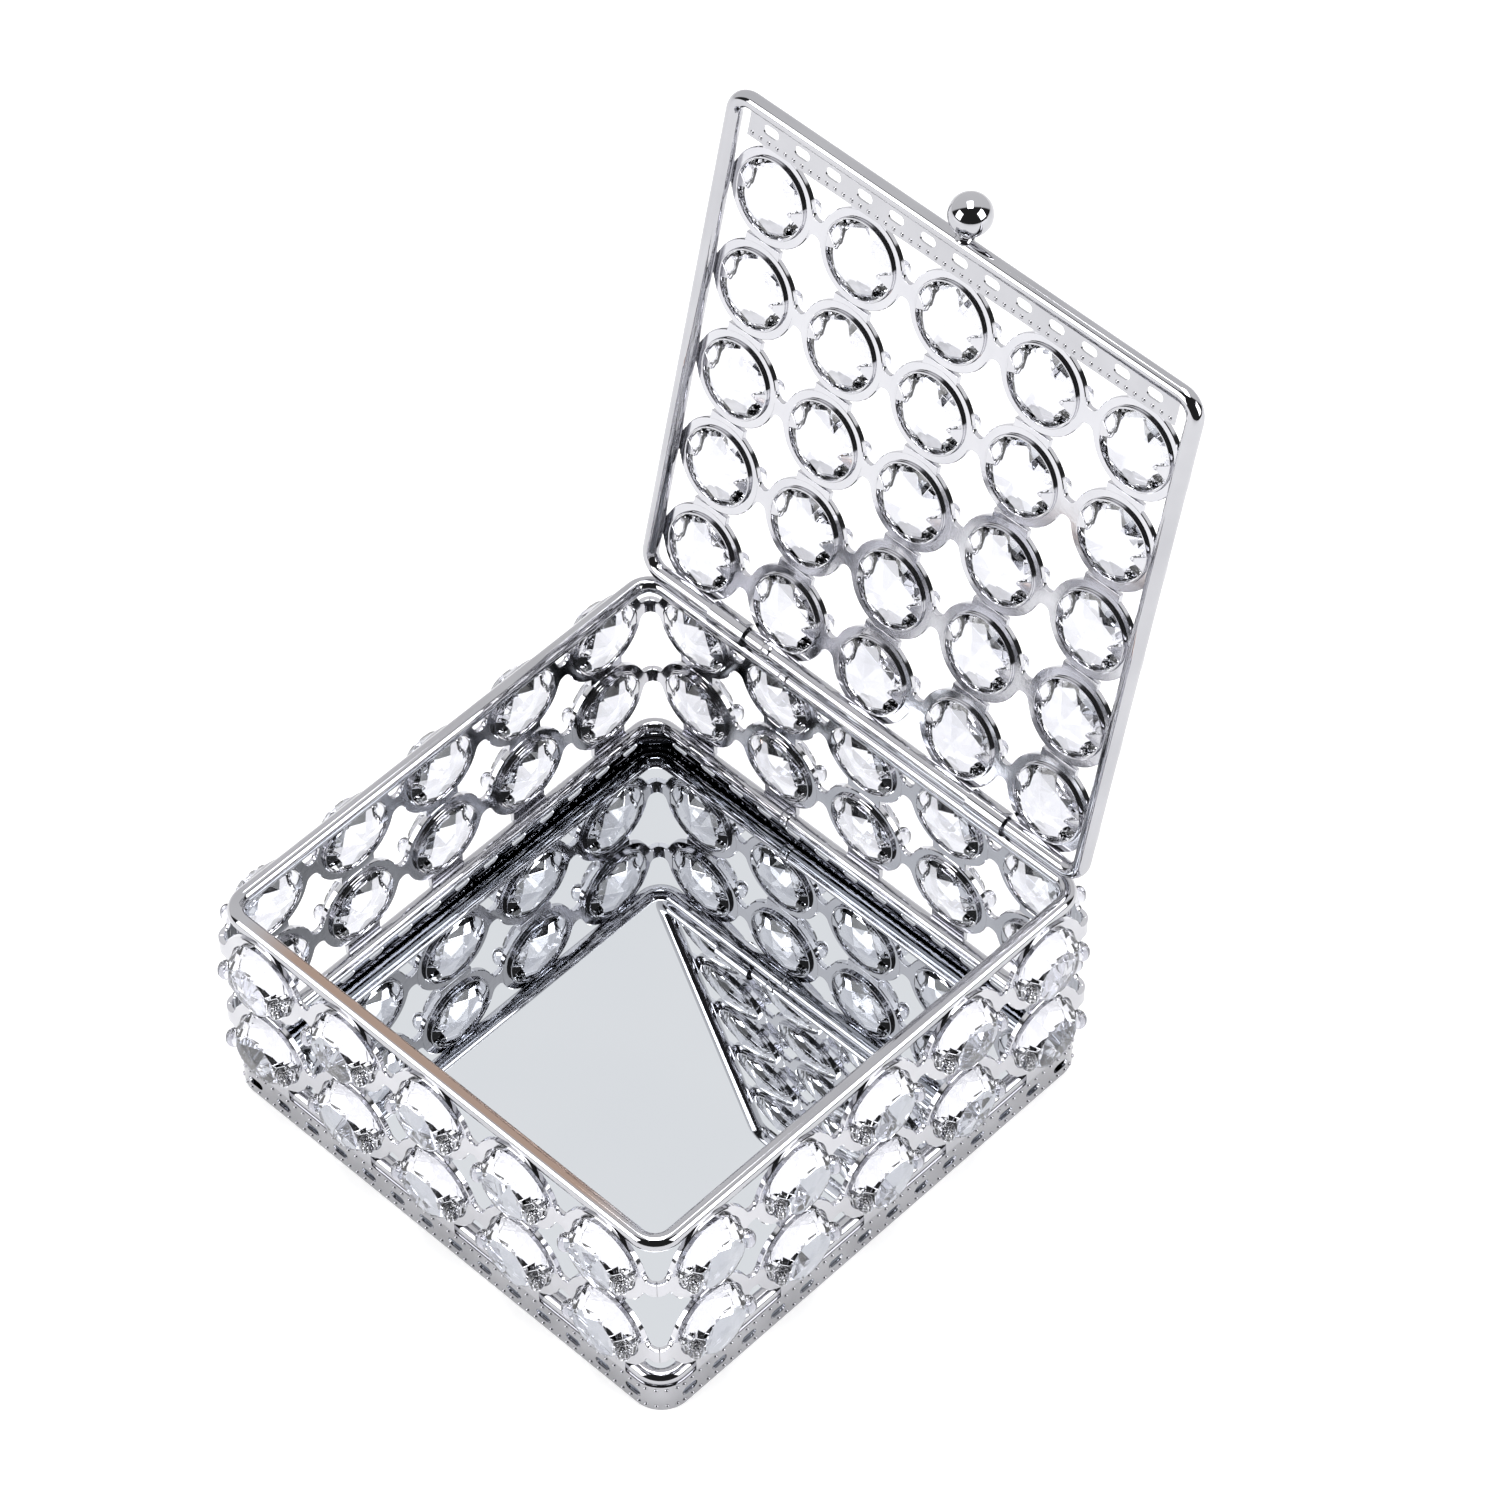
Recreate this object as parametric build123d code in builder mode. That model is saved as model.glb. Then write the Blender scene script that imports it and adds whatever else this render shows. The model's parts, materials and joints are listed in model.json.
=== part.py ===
from build123d import *
from math import cos, radians, sin
import os

# Vanity trinket box: chrome wire frame, walls and lid of crystals set in collars.
# Millimetres. +Z is up, z = 0 is the table, the hinge is on the +Y side.
# The lid is drawn open, leaning back past upright.

half = 50.0                 # centre line of the frame wires, either side of the middle
wire_d = 3.0                # round frame wire
wire_r = wire_d / 2
corner_r = 4.0              # bend of the wires at the corners, on the centre line
rim_z = 45.4                # top rim wire
base_z = 7.0                # base wire

pitch = 20.0                # from crystal to crystal along a row
row_x = [i * pitch for i in range(-2, 3)]
row_step = 18.8             # from row to row
upper_z = 36.7
lower_z = upper_z - row_step

flange_n = wire_r           # collars lie on the outside of the wires
flange_t = 0.6
flange_r = 9.0
bore_r = 7.1
sleeve_r = 7.5
sleeve_t = 0.6
land_w = 7.6                # straight land on one side of every collar
land_reach = row_step - flange_r
base_land_reach = 11.0      # the lowest row reaches down to the base wire
tab_h = 3.0
corner_tab_in = 2.0         # inside bend of the tabs that turn the corners
prong_d = 0.8
prong_tip = 5.2             # from the middle of the crystal

crystal_r = 7.0
crown_h = 4.4
pavilion_h = 2.7
girdle_up = 0.5             # top of the girdle, above the collar's back face
main_at = (6.3, 2.0)        # a point on each main facet of the crown, out and up
main_normal = (2.4, 2.1)
break_normal = (2.2, 1.0)   # the small facets between them, through the girdle's edge
lower_normal = (2.0, -crystal_r)
bead_hole_d = 1.2           # blind holes that the prongs sit in
bead_hole_tip = 4.9
lug_r = 1.6                 # round lug on both ends of the crown
lug_up = 3.1
lug_in = 4.6
lug_out = 7.6
lug_edge = 0.6

strip_h = 6.5               # decorative gallery strip
strip_t = 0.4
strip_in = 1.42             # inside face of the base strip beyond the wire centre line
oval_l = 3.4
oval_h = 1.9
oval_pitch = 6.95
oval_mid = 3.1              # height of the ovals above the beaded edge
base_ovals = 14             # on each side of the base
lid_ovals = 13

mirror_top = 2.2
mirror_t = 1.5
mirror_half = 51.3
backing_t = mirror_top - mirror_t

hinge_z = rim_z + 3.8
lid_len = 100.0
lid_lean = 14.0             # past upright when open
lid_corner_r = 3.5
lid_first_row = 8.75        # hinge line to the nearest row of crystals
lid_strip_h = 4.95          # the lid's strip stops at its front wire
lid_strip_half = 46.5
knuckle_in = wire_r + 0.06
knuckle_out = hinge_z - rim_z - wire_r
knuckle_len = 8.0
knuckle_x = 30.0
knuckle_slot = (-20, 50)    # degrees from the rear, up: the sleeve's open side

ball_r = 3.8
ball_up = 106.0             # from the hinge line
stem_r = 1.3
stem_foot_r = 2.1
stem_in = 0.9               # how far the stem goes into the ball

walls = {"front": 0, "right": 90, "back": 180, "left": 270}     # turn about Z
wall_rows = {"upper": (upper_z, land_reach), "lower": (lower_z, base_land_reach)}
pieces = {}                 # every finished piece by name

# Directions of the open lid, along it from the hinge and out of its outer face
up_lid = Vector(0, sin(radians(lid_lean)), cos(radians(lid_lean)))
out_lid = Vector(0, cos(radians(lid_lean)), -sin(radians(lid_lean)))
hinge_at = Vector(0, half, hinge_z)


def wall_plane(turn, z):
    """Outside of one wall's wires, x along the wall, y up and z pointing outwards."""
    a = radians(turn)
    across = Vector(cos(a), sin(a), 0)
    outward = Vector(sin(a), -cos(a), 0)
    return Plane(outward * (half + flange_n) + Vector(0, 0, z), x_dir=across, z_dir=outward)


def lid_plane(along, depth=flange_n):
    """Plane parallel to the lid, along millimetres from the hinge line."""
    return Plane(hinge_at + up_lid * along + out_lid * depth, x_dir=(-1, 0, 0), z_dir=out_lid)


def collar_row(frame, side, reach):
    """Five collars joined by tabs, drawn in the current part."""
    with BuildSketch(frame) as flange:
        with Locations(*[(x, 0) for x in row_x]):
            Circle(flange_r)
        with Locations(*[(x, side * reach / 2) for x in row_x]):
            Rectangle(land_w, reach)
        Rectangle(4 * pitch, tab_h)
        with Locations(*[(x, 0) for x in row_x]):
            Circle(bore_r, mode=Mode.SUBTRACT)
    extrude(flange.sketch, amount=flange_t)
    with BuildSketch(frame) as sleeve:
        with Locations(*[(x, 0) for x in row_x]):
            Circle(sleeve_r)
            Circle(bore_r, mode=Mode.SUBTRACT)
    extrude(sleeve.sketch, amount=-sleeve_t)
    for x in row_x:
        for way in (-1, 1):
            tip = frame.from_local_coords(Vector(x + way * prong_tip, 0, 0))
            with BuildSketch(Plane(tip, x_dir=frame.z_dir, z_dir=frame.x_dir * way)) as prong:
                Circle(prong_d / 2)
            extrude(prong.sketch, amount=bore_r + 0.1 - prong_tip)


def corner_tabs(frame):
    """Tabs at both ends of a wall row, bent half way round the corners."""
    first = row_x[-1] + bore_r + 0.5
    end = half + flange_n - corner_tab_in
    with BuildSketch(frame) as straight:
        with Locations(((first + end) / 2, 0), (-(first + end) / 2, 0)):
            Rectangle(end - first, tab_h)
    extrude(straight.sketch, amount=flange_t)
    for way in (-1, 1):
        foot = frame.from_local_coords(Vector(way * end, -tab_h / 2, -corner_tab_in))
        with BuildSketch(Plane(foot, x_dir=frame.z_dir, z_dir=frame.y_dir)) as bend:
            with BuildLine():
                inner = CenterArc((0, 0), corner_tab_in, 0, 45 * way)
                outer = CenterArc((0, 0), corner_tab_in + flange_t, 0, 45 * way)
                Line(inner @ 0, outer @ 0)
                Line(inner @ 1, outer @ 1)
            make_face()
        extrude(bend.sketch, amount=tab_h)


def end_tabs(frame):
    """Tabs that carry a lid row across to the side wires."""
    first = row_x[-1] + bore_r + 0.5
    last = half + 0.6
    with BuildSketch(frame) as tabs:
        with Locations(((first + last) / 2, 0), (-(first + last) / 2, 0)):
            Rectangle(last - first, tab_h)
    extrude(tabs.sketch, amount=flange_t)


def seats(frame):
    """Where the crystals of one row sit."""
    return [frame.location * Location((x, 0, 0)) for x in row_x]


def wire_loop(plane, width, length, bend):
    """Round wire bent to a closed rectangle, drawn in the current part."""
    with BuildSketch(plane) as outline:
        RectangleRounded(width, length, bend)
    path = outline.sketch.wires()[0]
    with BuildSketch(Plane(path @ 0, z_dir=path % 0)) as section:
        Circle(wire_r)
    sweep(section.sketch, path=path)


# ---- Frame of the box ----
with BuildPart() as rim_wire:
    wire_loop(Plane.XY.offset(rim_z), 2 * half, 2 * half, corner_r)

with BuildPart() as base_wire:
    wire_loop(Plane.XY.offset(base_z), 2 * half, 2 * half, corner_r)

# ---- One faceted crystal, cut from a short cylinder, z pointing outwards ----
with BuildPart() as crystal:
    with Locations((0, 0, -pavilion_h)):
        Cylinder(crystal_r, pavilion_h + crown_h, align=(Align.CENTER, Align.CENTER, Align.MIN))
    for k in range(8):
        main = radians(45 * k)
        between = radians(45 * k + 22.5)
        split(bisect_by=Plane(
            (main_at[0] * cos(main), main_at[0] * sin(main), main_at[1]),
            z_dir=(main_normal[0] * cos(main), main_normal[0] * sin(main), main_normal[1]),
        ), keep=Keep.BOTTOM)
        split(bisect_by=Plane(
            (crystal_r * cos(between), crystal_r * sin(between), girdle_up),
            z_dir=(break_normal[0] * cos(between), break_normal[0] * sin(between), break_normal[1]),
        ), keep=Keep.BOTTOM)
        split(bisect_by=Plane(
            (0, 0, -pavilion_h),
            z_dir=(lower_normal[0] * cos(main), lower_normal[0] * sin(main), lower_normal[1]),
        ), keep=Keep.BOTTOM)
    for way in (-1, 1):
        with BuildSketch(Plane((way * lug_in, 0, lug_up), x_dir=(0, 0, 1), z_dir=(way, 0, 0))):
            Circle(lug_r)
        extrude(amount=lug_out - lug_in)
        chamfer(crystal.edges().filter_by(GeomType.CIRCLE).sort_by(Axis.X)[-1 if way > 0 else 0], lug_edge)
        with BuildSketch(Plane((way * bead_hole_tip, 0, 0), x_dir=(0, 0, 1), z_dir=(way, 0, 0))):
            Circle(bead_hole_d / 2)
        extrude(amount=crystal_r, mode=Mode.SUBTRACT)

# ---- Walls: two rows of collars on each, and the crystals in them ----
for wall, turn in walls.items():
    for row, (z, reach) in wall_rows.items():
        frame = wall_plane(turn, z)
        with BuildPart() as wall_collars:
            collar_row(frame, -1, reach)
            corner_tabs(frame)
        pieces[f"{wall}_collars_{row}"] = wall_collars
        with BuildPart() as wall_crystals:
            with Locations(*seats(frame)):
                add(crystal.part)
        pieces[f"{wall}_crystals_{row}"] = wall_crystals

# ---- Base: pierced gallery strip round the foot, mirror and its backing ----
strip_half = half + strip_in
oval_x = [(i - (base_ovals - 1) / 2) * oval_pitch for i in range(base_ovals)]
lid_oval_x = [(i - (lid_ovals - 1) / 2) * oval_pitch for i in range(lid_ovals)]

with BuildPart() as base_gallery_strip:
    with BuildSketch(Plane.XY):
        RectangleRounded(
            2 * (strip_half + strip_t), 2 * (strip_half + strip_t), corner_r + strip_in + strip_t
        )
        RectangleRounded(2 * strip_half, 2 * strip_half, corner_r + strip_in, mode=Mode.SUBTRACT)
    extrude(amount=strip_h)
    with BuildSketch(Plane.XZ):
        with Locations(*[(x, oval_mid) for x in oval_x]):
            SlotOverall(oval_l, oval_h)
    extrude(amount=half + 8, both=True, mode=Mode.SUBTRACT)
    with BuildSketch(Plane.YZ):
        with Locations(*[(x, oval_mid) for x in oval_x]):
            SlotOverall(oval_l, oval_h)
    extrude(amount=half + 8, both=True, mode=Mode.SUBTRACT)

with BuildPart() as base_mirror:
    with BuildSketch(Plane.XY.offset(backing_t)):
        RectangleRounded(2 * mirror_half, 2 * mirror_half, corner_r + mirror_half - half)
    extrude(amount=mirror_t)

with BuildPart() as base_backing:
    with BuildSketch(Plane.XY):
        RectangleRounded(2 * mirror_half, 2 * mirror_half, corner_r + mirror_half - half)
    extrude(amount=backing_t)

# ---- Hinge: two sleeves on the rear rim wire, open towards the rear ----
def knuckle(x):
    """Split sleeve round the rear wire of the lid, drawn in the current part."""
    with BuildSketch(
        Plane((x - knuckle_len / 2, half, hinge_z), x_dir=(0, 1, 0), z_dir=(1, 0, 0))
    ) as ring:
        Circle(knuckle_out)
        Circle(knuckle_in, mode=Mode.SUBTRACT)
        with BuildLine():
            Polyline(
                (0, 0),
                *[(6 * cos(radians(edge)), 6 * sin(radians(edge))) for edge in knuckle_slot],
                close=True,
            )
        make_face(mode=Mode.SUBTRACT)
    extrude(ring.sketch, amount=knuckle_len)


with BuildPart() as left_hinge_knuckle:
    knuckle(-knuckle_x)

with BuildPart() as right_hinge_knuckle:
    knuckle(knuckle_x)

# ---- Lid, drawn open ----
with BuildPart() as lid_frame:
    wire_loop(lid_plane(lid_len / 2, 0), 2 * half, lid_len, lid_corner_r)

with BuildPart() as lid_gallery_strip:
    with BuildSketch(lid_plane(lid_len - wire_r - lid_strip_h / 2, -strip_t / 2)):
        Rectangle(2 * lid_strip_half, lid_strip_h)
        with Locations(*[(x, oval_mid - lid_strip_h / 2) for x in lid_oval_x]):
            SlotOverall(oval_l, oval_h, mode=Mode.SUBTRACT)
    extrude(amount=strip_t)

for row in range(5):
    frame = lid_plane(lid_first_row + (4 - row) * row_step)
    with BuildPart() as lid_collars:
        collar_row(frame, 1, land_reach)
        end_tabs(frame)
    pieces[f"lid_collars_row_{row + 1}"] = lid_collars
    with BuildPart() as lid_crystals:
        with Locations(*seats(frame)):
            add(crystal.part)
    pieces[f"lid_crystals_row_{row + 1}"] = lid_crystals

# ---- Knob on the middle of the lid's front wire ----
stem_plane = Plane(hinge_at + up_lid * lid_len, x_dir=(1, 0, 0), z_dir=up_lid)
ball_at = hinge_at + up_lid * ball_up
neck_up = ball_up - lid_len - ball_r + 0.25    # where the stem meets the ball

with BuildPart() as knob_ball:
    with Locations(ball_at):
        Sphere(ball_r)
    with BuildSketch(stem_plane.offset(neck_up - ball_r)):
        Circle(stem_r)
    extrude(amount=ball_r + stem_in, mode=Mode.SUBTRACT)

with BuildPart() as knob_stem:
    with BuildSketch(stem_plane.offset(wire_r / 2)):
        Circle(stem_foot_r)
    with BuildSketch(stem_plane.offset(neck_up)):
        Circle(stem_r)
    loft()
    with BuildSketch(stem_plane.offset(neck_up)):
        Circle(stem_r)
    extrude(amount=stem_in)
    with BuildSketch(Plane(stem_plane.origin - Vector(2 * stem_foot_r, 0, 0), z_dir=(1, 0, 0))):
        Circle(wire_r)
    extrude(amount=4 * stem_foot_r, mode=Mode.SUBTRACT)

# ---- Files ----
pieces.update({
    "rim_wire": rim_wire,
    "base_wire": base_wire,
    "base_gallery_strip": base_gallery_strip,
    "base_mirror": base_mirror,
    "base_backing": base_backing,
    "left_hinge_knuckle": left_hinge_knuckle,
    "right_hinge_knuckle": right_hinge_knuckle,
    "lid_frame": lid_frame,
    "lid_gallery_strip": lid_gallery_strip,
    "knob_stem": knob_stem,
    "knob_ball": knob_ball,
})

os.makedirs("parts", exist_ok=True)
for name, piece in pieces.items():
    piece.part.label = name
    export_step(piece.part, f"parts/{name}.step")
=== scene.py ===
import json
from math import cos, radians, sin

import bpy
from mathutils import Matrix, Vector


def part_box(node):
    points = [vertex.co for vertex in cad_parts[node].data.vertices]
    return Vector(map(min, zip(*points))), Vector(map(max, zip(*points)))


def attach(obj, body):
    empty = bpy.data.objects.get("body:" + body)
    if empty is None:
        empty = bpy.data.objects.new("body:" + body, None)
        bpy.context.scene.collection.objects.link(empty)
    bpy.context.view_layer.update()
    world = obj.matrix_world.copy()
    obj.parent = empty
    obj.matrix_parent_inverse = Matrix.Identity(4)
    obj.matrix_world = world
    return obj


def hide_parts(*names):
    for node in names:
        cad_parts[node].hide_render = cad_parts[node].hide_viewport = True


# Trinket box in chrome wire and crystal. Lengths are in metres, written as so many mm.
mm = 0.001

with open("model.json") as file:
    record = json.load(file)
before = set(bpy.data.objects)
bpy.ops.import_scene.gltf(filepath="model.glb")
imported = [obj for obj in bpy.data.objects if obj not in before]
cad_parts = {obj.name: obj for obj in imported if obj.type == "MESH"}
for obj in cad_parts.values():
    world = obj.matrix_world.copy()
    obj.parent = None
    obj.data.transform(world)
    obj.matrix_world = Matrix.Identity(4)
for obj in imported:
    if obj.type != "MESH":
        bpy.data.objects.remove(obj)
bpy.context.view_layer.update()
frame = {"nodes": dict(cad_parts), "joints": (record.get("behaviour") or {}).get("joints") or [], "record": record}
print("frame loaded:", len(frame["nodes"]), "nodes")


# Sizes read from the frame.
def middle(node):
    low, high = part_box(node)
    return (low + high) / 2


rimLow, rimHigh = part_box("rim_wire")
wireR = (rimHigh.z - rimLow.z) / 2
half = rimHigh.x - wireR                      # centre line of the wires from the middle
hinge = Vector(frame["joints"][0]["pos_m"])
lidUp = (middle("lid_crystals_row_1") - middle("lid_crystals_row_5")).normalized()
lidOut = lidUp.cross(Vector((1, 0, 0)))
rowStep = (middle("lid_crystals_row_1") - middle("lid_crystals_row_2")).length
rowLow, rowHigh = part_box("front_crystals_upper")
lugReach = 7.6 * mm                           # lug's end from the middle of its crystal
pitch = (rowHigh.x - rowLow.x - 2 * lugReach) / 4
walls = {"front": 0, "right": 90, "back": 180, "left": 270}
firstRow = 8.75 * mm                          # hinge line to the nearest row on the lid


def wallSeat(wall, z):
    # local x runs along the wall, y up and z outwards, from the outside of its wires
    turn = Matrix.Rotation(radians(walls[wall]), 4, "Z")
    return turn @ Matrix.Translation((0, -half - wireR, z)) @ Matrix.Rotation(radians(90), 4, "X")


def lidSeat(along):
    place = hinge + lidUp * along + lidOut * wireR
    axes = Matrix((Vector((-1, 0, 0)), lidUp, lidOut)).transposed()
    return Matrix.Translation(place) @ axes.to_4x4()


# Materials.
def hexColour(code):
    channels = [int(code[i:i + 2], 16) / 255 for i in (0, 2, 4)]
    linear = [c / 12.92 if c <= 0.04045 else ((c + 0.055) / 1.055) ** 2.4 for c in channels]
    return (*linear, 1)


def addNode(tree, kind, links=None, **settings):
    # links names an input and gives its value, or the socket that feeds it
    made = tree.nodes.new(kind)
    for name, value in settings.items():
        setattr(made, name, value)
    for name, value in (links or {}).items():
        if isinstance(value, bpy.types.NodeSocket):
            tree.links.new(value, made.inputs[name])
        else:
            made.inputs[name].default_value = value
    return made


def newMaterial(name):
    material = bpy.data.materials.new(name)
    material.use_nodes = True
    material.node_tree.nodes.clear()
    return material, material.node_tree


def perMetre(size):
    return 1 / size                            # noise scale whose features are about that size


chromePlate = {                                # bright chromium plate on brass wire
    "colour": "C4C4C8",
    "smudge": "A9A9AE",                        # thin haze left by handling
    "smudgeSize": 14 * mm,
    "roughness": (0.015, 0.05),                # where clean, where smudged
    "rippleSize": 1.6 * mm,                    # plating follows the drawn wire's faint ripple
    "rippleDepth": 0.004 * mm,
}


pressedPlate = {                               # the same plating on stamped sheet, a little softer
    "colour": "D2D2D6",
    "smudge": "C0C0C6",
    "smudgeSize": 9 * mm,
    "roughness": (0.05, 0.12),
    "rippleSize": 0.9 * mm,                    # orange peel left by the press
    "rippleDepth": 0.003 * mm,
}


rimWithPaintedReflection = {                                    # the same, with a warm band painted on the front wire of the rim as a painted reflection
    **chromePlate,                             # that a warm band of brass shows
    # colour of the painted warm reflection on the front wire
    "warmReflection": "AE978A",
    "reflectionAt": -half, "reflectionTop": middle("rim_wire").z, "reflectionSpan": 45 * mm,
    "reflectionTurn": 70,                           # the side that carries the painted reflection, in degrees up from the inside
    "reflectionEdge": (0.95 * mm, 1.15 * mm),       # from the wire's middle to where the band starts
    "reflectionFade": 12 * mm,
    "reflectionReach": (1.5 * mm, 1.9 * mm),        # how far in from the wire's middle it can lie
}


def paintedReflectionMask(tree, place, look):
    # 1 along the side of the front wire that carries the painted reflection, fading towards its corners
    axes = addNode(tree, "ShaderNodeSeparateXYZ", {"Vector": place})
    reflectingSide = Vector((0, cos(radians(look["reflectionTurn"])), sin(radians(look["reflectionTurn"]))))
    centre = Vector((0, look["reflectionAt"], look["reflectionTop"]))
    offset = addNode(tree, "ShaderNodeVectorMath", {0: place, 1: centre}, operation="SUBTRACT")
    side = addNode(tree, "ShaderNodeVectorMath", {0: offset.outputs[0], 1: reflectingSide},
                   operation="DOT_PRODUCT")
    band = addNode(tree, "ShaderNodeMapRange", {
        "Value": side.outputs["Value"], "From Min": look["reflectionEdge"][0],
        "From Max": look["reflectionEdge"][1]})
    front = addNode(tree, "ShaderNodeMapRange", {
        "Value": axes.outputs["Y"], "From Min": look["reflectionAt"] + look["reflectionReach"][1],
        "From Max": look["reflectionAt"] + look["reflectionReach"][0]})
    across = addNode(tree, "ShaderNodeMath", {0: axes.outputs["X"]}, operation="ABSOLUTE")
    ends = addNode(tree, "ShaderNodeMapRange", {
        "Value": across.outputs[0], "From Min": look["reflectionSpan"],
        "From Max": look["reflectionSpan"] - look["reflectionFade"]})
    both = addNode(tree, "ShaderNodeMath", {0: band.outputs[0], 1: front.outputs[0]},
                   operation="MULTIPLY")
    return addNode(tree, "ShaderNodeMath", {0: both.outputs[0], 1: ends.outputs[0]},
                   operation="MULTIPLY").outputs[0]


def makeChrome(name, look):
    material, tree = newMaterial(name)
    place = addNode(tree, "ShaderNodeTexCoord").outputs["Object"]
    haze = addNode(tree, "ShaderNodeTexNoise", {
        "Vector": place, "Scale": perMetre(look["smudgeSize"]), "Detail": 3.0})
    tint = addNode(tree, "ShaderNodeMix", {
        0: haze.outputs["Fac"], 6: hexColour(look["colour"]), 7: hexColour(look["smudge"])},
        data_type="RGBA")
    # mix in the painted warm reflection along the front wire of the rim
    if "warmReflection" in look:
        tint = addNode(tree, "ShaderNodeMix", {
            0: paintedReflectionMask(tree, place, look), 6: tint.outputs[2], 7: hexColour(look["warmReflection"])},
            data_type="RGBA")
    gloss = addNode(tree, "ShaderNodeMapRange", {
        "Value": haze.outputs["Fac"], "From Min": 0.35, "From Max": 0.65,
        "To Min": look["roughness"][0], "To Max": look["roughness"][1]})
    ripple = addNode(tree, "ShaderNodeTexNoise", {
        "Vector": place, "Scale": perMetre(look["rippleSize"]), "Detail": 1.0})
    bump = addNode(tree, "ShaderNodeBump", {
        "Strength": 1.0, "Distance": look["rippleDepth"], "Height": ripple.outputs["Fac"]})
    shader = addNode(tree, "ShaderNodeBsdfPrincipled", {
        "Base Color": tint.outputs[2], "Metallic": 1.0, "Roughness": gloss.outputs["Result"],
        "Normal": bump.outputs["Normal"]})
    addNode(tree, "ShaderNodeOutputMaterial", {"Surface": shader.outputs["BSDF"]})
    return material


crystalGlass = {                               # cut and polished crystal, clear with cool streaks
    "colour": "EFEFF3", "shade": "DBDCE5",
    "streak": 3.0 * mm,
    "ior": 1.54,
}


def makeCrystal():
    material, tree = newMaterial("cutCrystalGlass")
    place = addNode(tree, "ShaderNodeTexCoord").outputs["Object"]
    streaks = addNode(tree, "ShaderNodeTexNoise", {
        "Vector": place, "Scale": perMetre(crystalGlass["streak"]), "Detail": 2.0})
    tint = addNode(tree, "ShaderNodeMix", {
        0: streaks.outputs["Fac"], 6: hexColour(crystalGlass["colour"]),
        7: hexColour(crystalGlass["shade"])}, data_type="RGBA")
    shader = addNode(tree, "ShaderNodeBsdfPrincipled", {
        "Base Color": tint.outputs[2], "Roughness": 0.0,
        "IOR": crystalGlass["ior"], "Transmission Weight": 1.0})
    addNode(tree, "ShaderNodeOutputMaterial", {"Surface": shader.outputs["BSDF"]})
    return material


mirrorGlass = {                                # silvered float glass, cool grey with a wiped haze
    "colour": "E0E3E7", "haze": "DBDFE4",
    "hazeSize": 28 * mm,
    "roughness": (0.004, 0.016),
}


def makeMirror():
    material, tree = newMaterial("silveredMirror")
    place = addNode(tree, "ShaderNodeTexCoord").outputs["Object"]
    haze = addNode(tree, "ShaderNodeTexNoise", {
        "Vector": place, "Scale": perMetre(mirrorGlass["hazeSize"]), "Detail": 2.0})
    tint = addNode(tree, "ShaderNodeMix", {
        0: haze.outputs["Fac"], 6: hexColour(mirrorGlass["colour"]),
        7: hexColour(mirrorGlass["haze"])}, data_type="RGBA")
    gloss = addNode(tree, "ShaderNodeMapRange", {
        "Value": haze.outputs["Fac"], "From Min": 0.35, "From Max": 0.65,
        "To Min": mirrorGlass["roughness"][0], "To Max": mirrorGlass["roughness"][1]})
    shader = addNode(tree, "ShaderNodeBsdfPrincipled", {
        "Base Color": tint.outputs[2], "Metallic": 1.0, "Roughness": gloss.outputs["Result"]})
    addNode(tree, "ShaderNodeOutputMaterial", {"Surface": shader.outputs["BSDF"]})
    return material


greyBoard = {                                  # pressed card, dull grey with darker fibres
    "colour": "5A5A5E", "fleck": "3C3C40", "fibre": 0.4 * mm,
}


def makeBoard():
    material, tree = newMaterial("greyBackingBoard")
    place = addNode(tree, "ShaderNodeTexCoord").outputs["Object"]
    fibres = addNode(tree, "ShaderNodeTexNoise", {
        "Vector": place, "Scale": perMetre(greyBoard["fibre"]), "Detail": 4.0})
    tint = addNode(tree, "ShaderNodeMix", {
        0: fibres.outputs["Fac"], 6: hexColour(greyBoard["colour"]),
        7: hexColour(greyBoard["fleck"])}, data_type="RGBA")
    shader = addNode(tree, "ShaderNodeBsdfPrincipled", {
        "Base Color": tint.outputs[2], "Roughness": 0.9})
    addNode(tree, "ShaderNodeOutputMaterial", {"Surface": shader.outputs["BSDF"]})
    return material


finishes = {
    "chrome": makeChrome("chromePlatedWire", chromePlate),
    "rim": makeChrome("chromeRimWithPaintedReflection", rimWithPaintedReflection),
    # the rim's chrome carries a painted warm reflection on its front wire
    "pressing": makeChrome("chromePlatedPressing", pressedPlate),
    "crystal": makeCrystal(),
    "mirror": makeMirror(),
    "backing": makeBoard(),
}


def dress(piece, finish):
    piece.data.materials.clear()
    piece.data.materials.append(finishes[finish])


for row in frame["record"]["subparts"]:
    dress(frame["nodes"][row["node"]], row["material_slot"])
dress(frame["nodes"]["rim_wire"], "rim")
print("materials ready")


# Small helpers for working on one piece at a time.
def only(piece):
    bpy.ops.object.select_all(action="DESELECT")
    piece.select_set(True)
    bpy.context.view_layer.objects.active = piece


def settle(name):
    # the primitive just added becomes a named piece with its placing taken into the mesh
    piece = bpy.context.object
    piece.name = piece.data.name = name
    bpy.ops.object.transform_apply(location=True, rotation=True, scale=True)
    return piece


def pick(piece, mode, wanted):
    # edit mode with just the faces or vertices that wanted() says
    only(piece)
    bpy.ops.object.mode_set(mode="EDIT")
    bpy.ops.mesh.select_mode(type=mode)
    bpy.ops.mesh.select_all(action="DESELECT")
    bpy.ops.object.mode_set(mode="OBJECT")
    for part in piece.data.polygons if mode == "FACE" else piece.data.vertices:
        part.select = wanted(part)
    bpy.ops.object.mode_set(mode="EDIT")


def modify(piece, kind, **settings):
    only(piece)
    modifier = piece.modifiers.new(kind, kind)
    for name, value in settings.items():
        setattr(modifier, name, value)
    bpy.ops.object.modifier_apply(modifier=modifier.name)


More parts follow.
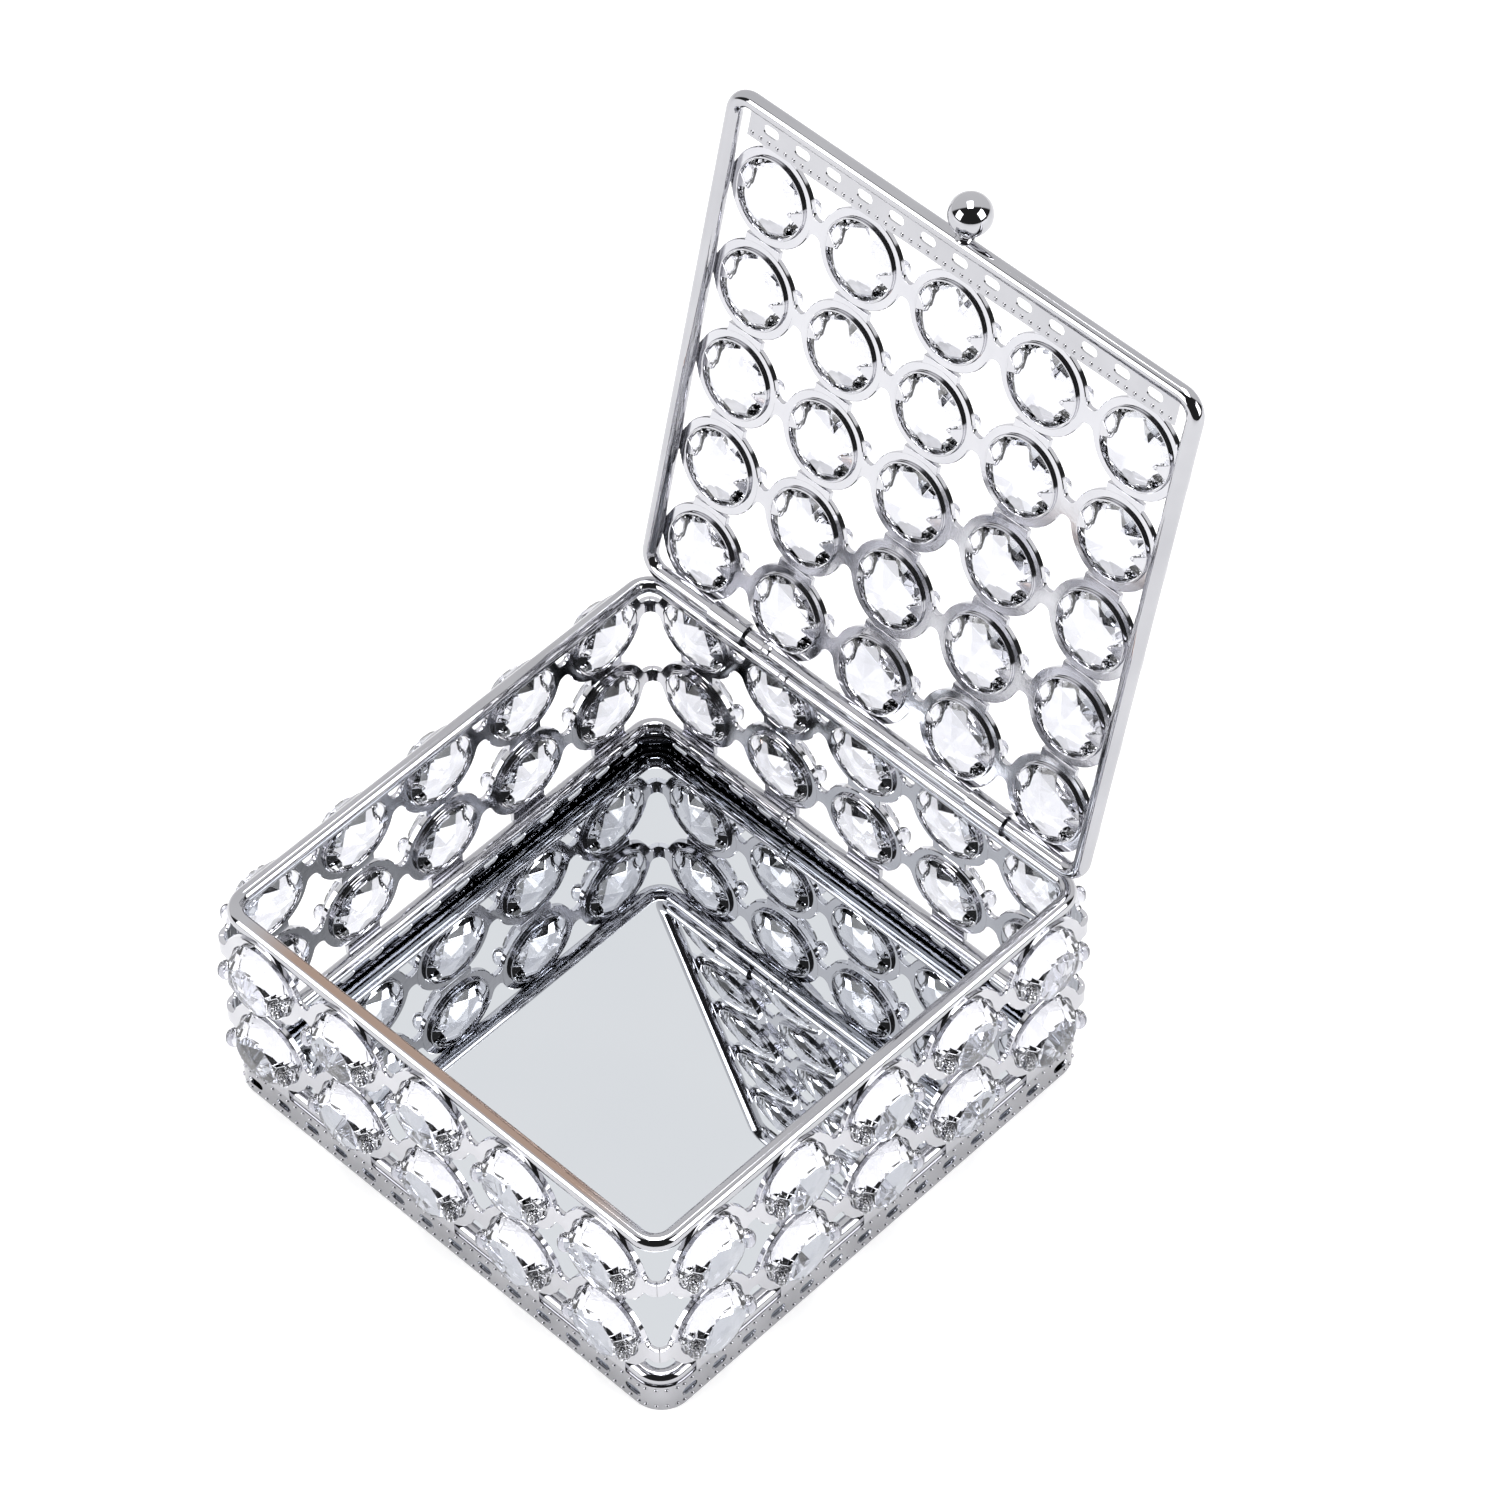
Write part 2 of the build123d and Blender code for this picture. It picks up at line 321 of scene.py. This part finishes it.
def carve(piece, cutter, operation="DIFFERENCE"):
    modify(piece, "BOOLEAN", operation=operation, object=cutter, solver="EXACT")
    bpy.data.objects.remove(cutter)


def slab(name, low, high):
    size = Vector(high) - Vector(low)
    bpy.ops.mesh.primitive_cube_add(size=1, location=Vector(low) + size / 2, scale=size)
    return settle(name)


def rod(name, radius, start, length, sides=32):
    # upright, from the middle of its lower end
    middleAt = Vector(start) + Vector((0, 0, length / 2))
    bpy.ops.mesh.primitive_cylinder_add(
        vertices=sides, radius=radius, depth=length, location=middleAt)
    return settle(name)


def joined(pieces, name):
    only(pieces[0])
    for piece in pieces[1:]:
        piece.select_set(True)
    bpy.ops.object.join()
    pieces[0].name = pieces[0].data.name = name
    return pieces[0]


def copied(model, name, seat):
    made = model.copy()
    made.data = model.data.copy()
    made.name = made.data.name = name
    bpy.context.collection.objects.link(made)
    made.matrix_world = seat
    only(made)
    bpy.ops.object.transform_apply(location=True, rotation=True, scale=True)
    return made


def halfTurned(model):
    return copied(model, model.name + "Other", Matrix.Rotation(radians(180), 4, "Z"))


def rowOf(model, start, count):
    # one after another along x, a pitch apart
    row = copied(model, model.name + "Row", Matrix.Translation((start, 0, 0)))
    modify(row, "ARRAY", count=count, use_relative_offset=False, use_constant_offset=True,
           constant_offset_displace=(pitch, 0, 0))
    return row


def turned(name, section, sides):
    # a closed ring about z; section lists radius and height once round
    radius, height = section[0]
    bpy.ops.mesh.primitive_circle_add(vertices=sides, radius=radius, location=(0, 0, height))
    piece = settle(name)
    bpy.ops.object.mode_set(mode="EDIT")
    bpy.ops.mesh.select_mode(type="VERT")
    bpy.ops.mesh.select_all(action="SELECT")
    for nextRadius, nextHeight in section[1:] + section[:1]:
        bpy.ops.mesh.extrude_region_move(
            TRANSFORM_OT_translate={"value": (0, 0, nextHeight - height)})
        bpy.ops.transform.resize(
            value=(nextRadius / radius, nextRadius / radius, 1), center_override=(0, 0, 0))
        radius, height = nextRadius, nextHeight
    bpy.ops.mesh.select_all(action="SELECT")
    bpy.ops.mesh.remove_doubles(threshold=0.001 * mm)
    bpy.ops.mesh.normals_make_consistent(inside=False)
    bpy.ops.object.mode_set(mode="OBJECT")
    return piece


def softened(piece, width):
    modify(piece, "BEVEL", width=width, segments=2, limit_method="ANGLE",
           angle_limit=radians(35))
    bpy.ops.object.shade_smooth_by_angle(angle=radians(40))
    modify(piece, "WEIGHTED_NORMAL", keep_sharp=True)


def finishRow(piece, body, finish, node):
    # the piece stands in for that node of the frame
    dress(piece, finish)
    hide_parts(node)
    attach(piece, body)


# Collars: stamped rings with a turned-in sleeve, joined by waisted tabs. Local z = 0 is
# the outside of the wires that they are welded to.
collar = {
    "outside": 9.0 * mm, "bore": 7.1 * mm, "sleeve": 7.42 * mm,
    "face": 0.6 * mm, "back": -0.45 * mm, "lip": -1.0 * mm,
    "edge": 0.14 * mm, "sides": 64, "softEdge": 0.1 * mm,
    "tabFrom": 8.0 * mm, "tabTo": 12.0 * mm, "waist": 3.0 * mm, "waistRadius": 1.42 * mm,
    "tabInset": 0.02 * mm,
    "landFrom": 7.5 * mm, "landWidth": 7.6 * mm, "landInset": 0.03 * mm,
    "bendRadius": 2.0 * mm, "bendTurn": 45, "bendSteps": 6,
    "sideReach": 0.6 * mm,                     # past the middle of the lid's side wire
    "tongue": 1.95 * mm, "tongueTip": 4.4 * mm, "tongueThick": 0.24 * mm,
    "tongueSlope": 16, "tongueHeight": -1.04 * mm, "tongueEdge": 0.06 * mm,
    "pinRadius": 0.4 * mm, "pinLength": 2.2 * mm, "pinAt": 4.95 * mm, "pinHeight": -1.55 * mm,
    "pinEdge": 0.12 * mm,
    # how far the lands reach towards the wire
    "wallLands": {"upper": 9.8 * mm, "lower": 11.0 * mm}, "lidLands": 9.8 * mm,
}


def makeRing():
    outside, bore, sleeve = collar["outside"], collar["bore"], collar["sleeve"]
    face, back, lip, edge = collar["face"], collar["back"], collar["lip"], collar["edge"]
    nick = edge / 2
    return turned("collarRing", [
        (bore, lip + nick), (bore + nick, lip), (sleeve - nick, lip), (sleeve, lip + nick),
        (sleeve, back - nick), (sleeve + nick, back), (outside - edge, back),
        (outside, back + edge), (outside, face - edge), (outside - edge, face),
        (bore + edge, face), (bore, face - edge)], collar["sides"])


def makeTongue():
    # a pointed tongue under the crystal, and the pin at its tip that enters the bead hole
    middleAt = collar["tongueTip"] + collar["tongue"]
    bpy.ops.mesh.primitive_cylinder_add(
        vertices=3, radius=collar["tongue"], depth=collar["tongueThick"], location=(0, 0, 0),
        rotation=(0, 0, radians(90)))
    tongue = settle("tongue")
    tongue.matrix_world = (Matrix.Translation((middleAt, 0, collar["tongueHeight"]))
                           @ Matrix.Rotation(radians(-collar["tongueSlope"]), 4, "Y"))
    only(tongue)
    bpy.ops.object.transform_apply(location=True, rotation=True, scale=True)
    softened(tongue, collar["tongueEdge"])
    pin = rod("pin", collar["pinRadius"], (collar["pinAt"], 0, collar["pinHeight"]),
              collar["pinLength"], 12)
    softened(pin, collar["pinEdge"])
    return joined([tongue, pin], "tongue")


def makeTab():
    # waisted by two round cutters that touch both neighbouring rings
    radius, inset = collar["waistRadius"], collar["tabInset"]
    reach = collar["waist"] / 2 + radius
    tab = slab("tab", (collar["tabFrom"], -reach, collar["back"] + inset),
               (collar["tabTo"], reach, collar["face"] - inset))
    for way in (-1, 1):
        carve(tab, rod("cutter", radius, (pitch / 2, way * reach, -2 * mm), 4 * mm))
    return tab


def makeCornerTab():
    # half a tab, bent half way round the corner
    tab = makeTab()
    pick(tab, "FACE", lambda face: True)
    bendAt = half + wireR - collar["bendRadius"] - 2 * pitch
    bpy.ops.mesh.bisect(plane_co=(bendAt, 0, 0), plane_no=(1, 0, 0), use_fill=True,
                        clear_outer=True, threshold=0.0001 * mm)
    bpy.ops.object.mode_set(mode="OBJECT")
    pick(tab, "FACE", lambda face: face.normal.x > 0.99 and face.center.x > bendAt - 0.01 * mm)
    bpy.ops.mesh.spin(steps=collar["bendSteps"], angle=radians(-collar["bendTurn"]),
                      center=(bendAt, 0, -collar["bendRadius"]), axis=(0, 1, 0))
    bpy.ops.mesh.select_all(action="SELECT")
    bpy.ops.mesh.remove_doubles(threshold=0.001 * mm)
    bpy.ops.mesh.normals_make_consistent(inside=False)
    bpy.ops.object.mode_set(mode="OBJECT")
    return tab


def makeSideTab():
    # half a tab, straight across to the lid's side wire
    tab = makeTab()
    pick(tab, "FACE", lambda face: True)
    end = half + collar["sideReach"] - 2 * pitch
    bpy.ops.mesh.bisect(plane_co=(end, 0, 0), plane_no=(1, 0, 0), use_fill=True,
                        clear_outer=True, threshold=0.0001 * mm)
    bpy.ops.object.mode_set(mode="OBJECT")
    return tab


def makeLand(side, reach):
    wide, inset = collar["landWidth"] / 2, collar["landInset"]
    near, far = sorted((side * collar["landFrom"], side * reach))
    return slab("land", (-wide, near, collar["back"] + inset),
                (wide, far, collar["face"] - inset))


def makeCollarRow(name, side, reach, endTab):
    # five collars with their lands on one side, and endTab at both ends
    ring = makeRing()
    bpy.ops.object.shade_smooth_by_angle(angle=radians(30))
    tongue = makeTongue()
    tab = makeTab()
    land = makeLand(side, reach)
    for piece in (tab, land, endTab):
        softened(piece, collar["softEdge"])
    end = copied(endTab, "end", Matrix.Translation((2 * pitch, 0, 0)))
    single = joined([ring, tongue, halfTurned(tongue), land], "collar")
    row = joined([rowOf(single, -2 * pitch, 5), rowOf(tab, -2 * pitch, 4), end,
                  halfTurned(end)], name)
    for model in (single, tab, endTab):
        bpy.data.objects.remove(model)
    print(name, len(row.data.polygons), "faces")
    return row


# Crystals: round beads cut with flat facets, with a clear lug at both ends.
crystal = {
    "radius": 7.0 * mm, "crown": 4.4 * mm, "pavilion": -2.7 * mm,
    # in mm: out and up to a facet; then its slope out and up; how many, and the first's angle
    "cuts": [
        (0.0, -2.8, 2.0, -7.0, 8, 0.0),
        (7.0, -0.62, 1.2, -2.4, 16, 11.25),
        (7.0, 0.45, 2.6, 1.0, 16, 11.25),
        (6.3, 2.0, 2.4, 2.1, 8, 0.0),
        (4.45, 4.05, 1.0, 1.75, 8, 22.5),
        (0.0, 4.4, 0.11, 1.0, 8, 0.0),
    ],
    "lug": (1.4 * mm, 2.1 * mm, 1.55 * mm), "lugAt": (6.15 * mm, 0, 3.0 * mm),
    "holeRadius": 0.5 * mm, "holeAt": 4.95 * mm, "holeFrom": -4 * mm, "holeTop": 0.8 * mm,
    "edge": 0.07 * mm,                         # facet edges are polished very slightly round
}


def makeCrystalBead():
    bead = rod("bead", crystal["radius"], (0, 0, crystal["pavilion"]),
               crystal["crown"] - crystal["pavilion"], 32)
    pick(bead, "FACE", lambda face: True)
    for out, up, slopeOut, slopeUp, count, first in crystal["cuts"]:
        for k in range(count):
            angle = radians(first + 360 * k / count)
            bpy.ops.mesh.select_all(action="SELECT")
            slope = Vector((slopeOut * cos(angle), slopeOut * sin(angle), slopeUp))
            bpy.ops.mesh.bisect(
                plane_co=(out * mm * cos(angle), out * mm * sin(angle), up * mm),
                plane_no=slope.normalized(), use_fill=True, clear_outer=True,
                threshold=0.0001 * mm)
    bpy.ops.mesh.select_all(action="SELECT")
    bpy.ops.mesh.remove_doubles(threshold=0.002 * mm)
    bpy.ops.mesh.normals_make_consistent(inside=False)
    bpy.ops.object.mode_set(mode="OBJECT")
    modify(bead, "BEVEL", width=crystal["edge"], segments=1, limit_method="ANGLE",
           angle_limit=radians(4))
    bpy.ops.object.shade_flat()
    x, y, z = crystal["lugAt"]
    for way in (-1, 1):
        bpy.ops.mesh.primitive_uv_sphere_add(
            segments=20, ring_count=12, radius=1, location=(way * x, y, z), scale=crystal["lug"])
        lug = settle("lug")
        bpy.ops.object.shade_smooth()
        carve(bead, lug, "UNION")
        hole = rod("hole", crystal["holeRadius"], (way * crystal["holeAt"], 0, crystal["holeFrom"]),
                   crystal["holeTop"] - crystal["holeFrom"], 14)
        carve(bead, hole)
    return bead


wallRows = {row: middle(f"front_crystals_{row}").z for row in ("upper", "lower")}
bead = makeCrystalBead()
beadRow = rowOf(bead, -2 * pitch, 5)
beadRow.name = "beadRow"
bpy.data.objects.remove(bead)
print("crystal row", len(beadRow.data.polygons), "faces")

for row, z in wallRows.items():
    collarRow = makeCollarRow("wallCollars", -1, collar["wallLands"][row], makeCornerTab())
    for wall in walls:
        finishRow(copied(collarRow, f"{wall}_{row}_collars", wallSeat(wall, z)),
                  "box", "pressing", f"{wall}_collars_{row}")
        finishRow(copied(beadRow, f"{wall}_{row}_crystals", wallSeat(wall, z)),
                  "box", "crystal", f"{wall}_crystals_{row}")
    bpy.data.objects.remove(collarRow)

collarRow = makeCollarRow("lidCollars", 1, collar["lidLands"], makeSideTab())
for i in range(5):
    along = firstRow + (4 - i) * rowStep
    finishRow(copied(collarRow, f"lid_row_{i + 1}_collars", lidSeat(along)),
              "lid", "pressing", f"lid_collars_row_{i + 1}")
    finishRow(copied(beadRow, f"lid_row_{i + 1}_crystals", lidSeat(along)),
              "lid", "crystal", f"lid_crystals_row_{i + 1}")
bpy.data.objects.remove(collarRow)
bpy.data.objects.remove(beadRow)
print("collars and crystals made")


# Small raised beads pressed into the gallery strips: two rows round the base, one on the lid.
pearl = {
    "radius": 0.46 * mm, "step": 1.857 * mm, "heights": (0.9 * mm, 5.4 * mm),
    "cornerRadius": 4.0 * mm,                  # of the wires, which the strip follows
    "sunk": 0.12 * mm, "cornerCount": 4, "cornerStep": 18,
    "lidStripTall": 4.95 * mm, "lidStripHalf": 46.5 * mm, "lidStripEnd": 1 * mm,
}


def finishTrim(piece, body):
    dress(piece, "chrome")
    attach(piece, body)


def makePearl():
    bpy.ops.mesh.primitive_ico_sphere_add(subdivisions=2, radius=pearl["radius"])
    made = settle("pearl")
    bpy.ops.object.shade_smooth()
    return made


def pearlLine(span):
    # pearls from end to end of a straight run along x
    gap = pearl["step"]
    count = round(span / gap) + 1
    model = makePearl()
    line = copied(model, "pearlLine", Matrix.Translation((-gap * (count - 1) / 2, 0, 0)))
    modify(line, "ARRAY", count=count, use_relative_offset=False, use_constant_offset=True,
           constant_offset_displace=(gap, 0, 0))
    bpy.data.objects.remove(model)
    return line


def makeBasePearls():
    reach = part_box("base_gallery_strip")[1].x
    bend = reach - half + pearl["cornerRadius"]
    straight = reach - bend
    parts = []
    line = pearlLine(2 * straight)
    corner = makePearl()
    inside = bend - pearl["sunk"]
    for quarter in range(4):
        turn = Matrix.Rotation(radians(90 * quarter), 4, "Z")
        for height in pearl["heights"]:
            parts.append(copied(line, "pearls", turn @ Matrix.Translation(
                (0, -(straight + inside), height))))
            for step in range(1, pearl["cornerCount"] + 1):
                swing = Matrix.Rotation(radians(pearl["cornerStep"] * step), 4, "Z")
                parts.append(copied(corner, "pearls", turn @ Matrix.Translation(
                    (straight, -straight, height)) @ swing @ Matrix.Translation((0, -inside, 0))))
    bpy.data.objects.remove(line)
    bpy.data.objects.remove(corner)
    return joined(parts, "base_strip_pearls")


def makeLidPearls():
    strip = middle("lid_gallery_strip") - hinge
    beadedAt = strip.dot(lidUp) - pearl["lidStripTall"] / 2 + pearl["heights"][0]
    line = pearlLine(2 * (pearl["lidStripHalf"] - pearl["lidStripEnd"]))
    made = copied(line, "lid_strip_pearls", lidSeat(beadedAt)
                  @ Matrix.Translation((0, 0, strip.dot(lidOut) - wireR)))
    bpy.data.objects.remove(line)
    return made


finishTrim(makeBasePearls(), "box")
finishTrim(makeLidPearls(), "lid")

# Knob foot: a small flared saddle on the lid's front wire, with a beaded neck into the ball.
knobFoot = {
    "section": [                               # radius and height over the wire's centre, mm
        (0.3, 0.7), (1.6, 0.7), (1.72, 0.85), (1.72, 1.15), (1.4, 1.45), (1.3, 1.6),
        (1.5, 1.75), (1.55, 1.9), (1.45, 2.05), (1.29, 2.15), (1.29, 3.3), (0.3, 3.3)],
    "sides": 48,
}


def makeKnobFoot():
    model = turned("knobFoot", [(r * mm, h * mm) for r, h in knobFoot["section"]],
                   knobFoot["sides"])
    bpy.ops.object.shade_smooth_by_angle(angle=radians(50))
    axes = Matrix((Vector((1, 0, 0)), lidOut, lidUp)).transposed()
    place = Matrix.Translation(hinge + lidUp * 2 * half) @ axes.to_4x4()
    made = copied(model, "knob_foot", place)
    bpy.data.objects.remove(model)
    return made


finishRow(makeKnobFoot(), "lid", "chrome", "knob_stem")

# Butt welds where the bent wires close, left as faint swellings at the back.
weld = {"at": -17 * mm, "length": 2.4 * mm, "swell": 0.14 * mm}


def makeWeld(name, centre):
    long, swell = weld["length"] / 2, weld["swell"]
    bead = turned(name, [
        (wireR - 0.2 * mm, -long), (wireR + 0.3 * swell, -0.8 * long),
        (wireR + 0.8 * swell, -0.45 * long), (wireR + 0.5 * swell, -0.1 * long),
        (wireR + swell, 0.3 * long), (wireR + 0.4 * swell, 0.75 * long),
        (wireR - 0.2 * mm, long)], 32)
    made = copied(bead, name + "_weld", Matrix.Translation(centre)
                  @ Matrix.Rotation(radians(90), 4, "Y"))
    bpy.data.objects.remove(bead)
    bpy.ops.object.shade_smooth()
    return made


finishTrim(makeWeld("rim", (weld["at"], half, middle("rim_wire").z)), "box")
finishTrim(makeWeld("base", (weld["at"], half, middle("base_wire").z)), "box")
finishTrim(makeWeld("lid", (weld["at"] - 4 * mm, hinge.y, hinge.z)), "lid")
print("pearls and welds made")


# Floor, light and camera.
studio = {
    "floorSize": 3.0, "floorColour": "D8D8D8",
    "floorGlow": 0.37,                         # white acrylic table, lit from below as well
    "floorClean": 0.60,                        # and burnt out to plain white behind the box
    "backdrop": 0.95,                          # pale paper sweep behind and overhead
    "backdropAt": (-0.66, 0.62, 0.42),
    "backdropEdge": (72, 77),                  # degrees from its middle, where it fades out
    "darkRoom": 0.03,                          # the unlit room on the other sides
    "lightDistance": 1.3,
}


def studioWorld():
    world = bpy.data.worlds.new("studio")
    bpy.context.scene.world = world
    world.use_nodes = True
    tree = world.node_tree
    tree.nodes.clear()
    look = addNode(tree, "ShaderNodeTexCoord").outputs["Generated"]
    dot = addNode(tree, "ShaderNodeVectorMath", {
        0: look, 1: Vector(studio["backdropAt"]).normalized()}, operation="DOT_PRODUCT")
    inner, outer = studio["backdropEdge"]
    card = addNode(tree, "ShaderNodeMapRange", {
        "Value": dot.outputs["Value"], "From Min": cos(radians(outer)),
        "From Max": cos(radians(inner)), "To Min": studio["darkRoom"],
        "To Max": studio["backdrop"]})
    path = addNode(tree, "ShaderNodeLightPath")
    seen = addNode(tree, "ShaderNodeMix", {
        0: path.outputs["Is Camera Ray"], 6: card.outputs["Result"], 7: (1, 1, 1, 1)},
        data_type="RGBA")
    lit = addNode(tree, "ShaderNodeBackground", {"Color": seen.outputs[2], "Strength": 1.0})
    addNode(tree, "ShaderNodeOutputWorld", {"Surface": lit.outputs["Background"]})


softboxes = {
    "overhead": {"from": (-0.06, 0.06, 1.00), "size": (0.55, 0.80), "power": 11},
    "left": {"from": (-0.34, -0.84, 0.43), "size": (0.70, 0.85), "power": 8.5},
    "right": {"from": (0.83, 0.28, 0.48), "size": (0.70, 0.85), "power": 8.5},
}


def makeStudio():
    bpy.ops.mesh.primitive_plane_add(size=studio["floorSize"])
    floor = bpy.context.object
    floor.name = "floor"
    material, tree = newMaterial("whiteFloor")
    path = addNode(tree, "ShaderNodeLightPath")
    glow = addNode(tree, "ShaderNodeMapRange", {
        "Value": path.outputs["Is Camera Ray"],
        "To Min": studio["floorGlow"], "To Max": studio["floorClean"]})
    shader = addNode(tree, "ShaderNodeBsdfPrincipled", {
        "Base Color": hexColour(studio["floorColour"]), "Roughness": 0.8,
        "Specular IOR Level": 0.2, "Emission Color": (1, 1, 1, 1),
        "Emission Strength": glow.outputs[0]})
    addNode(tree, "ShaderNodeOutputMaterial", {"Surface": shader.outputs["BSDF"]})
    floor.data.materials.append(material)
    for name, box in softboxes.items():
        direction = Vector(box["from"]).normalized()
        bpy.ops.object.light_add(type="AREA", location=direction * studio["lightDistance"])
        light = bpy.context.object
        light.name = name
        light.rotation_euler = direction.to_track_quat("Z", "Y").to_euler()
        light.data.shape = "RECTANGLE"
        light.data.size, light.data.size_y = box["size"]
        light.data.energy = box["power"]


camera = {
    "azimuth": 44.87, "elevation": 50.84, "roll": -1.11,   # degrees
    "aim": (-0.00163, 0.02534, 0.06096), "distance": 1.1, "lens": 159.1,
}


def makeCamera():
    turn = Matrix.Rotation(radians(camera["azimuth"]), 4, "Z")
    tilt = Matrix.Rotation(radians(90 - camera["elevation"]), 4, "X")
    roll = Matrix.Rotation(radians(camera["roll"]), 4, "Z")
    aimed = turn @ tilt @ roll
    back = aimed.to_3x3() @ Vector((0, 0, 1))
    bpy.ops.object.camera_add(location=Vector(camera["aim"]) + back * camera["distance"],
                              rotation=aimed.to_euler())
    seen = bpy.context.object
    seen.name = "camera"
    seen.data.lens = camera["lens"]
    seen.data.sensor_width = 36
    seen.data.clip_start = 0.05
    bpy.context.scene.camera = seen


studioWorld()
makeStudio()
makeCamera()
bpy.context.scene.view_settings.view_transform = "Standard"
print("studio ready")
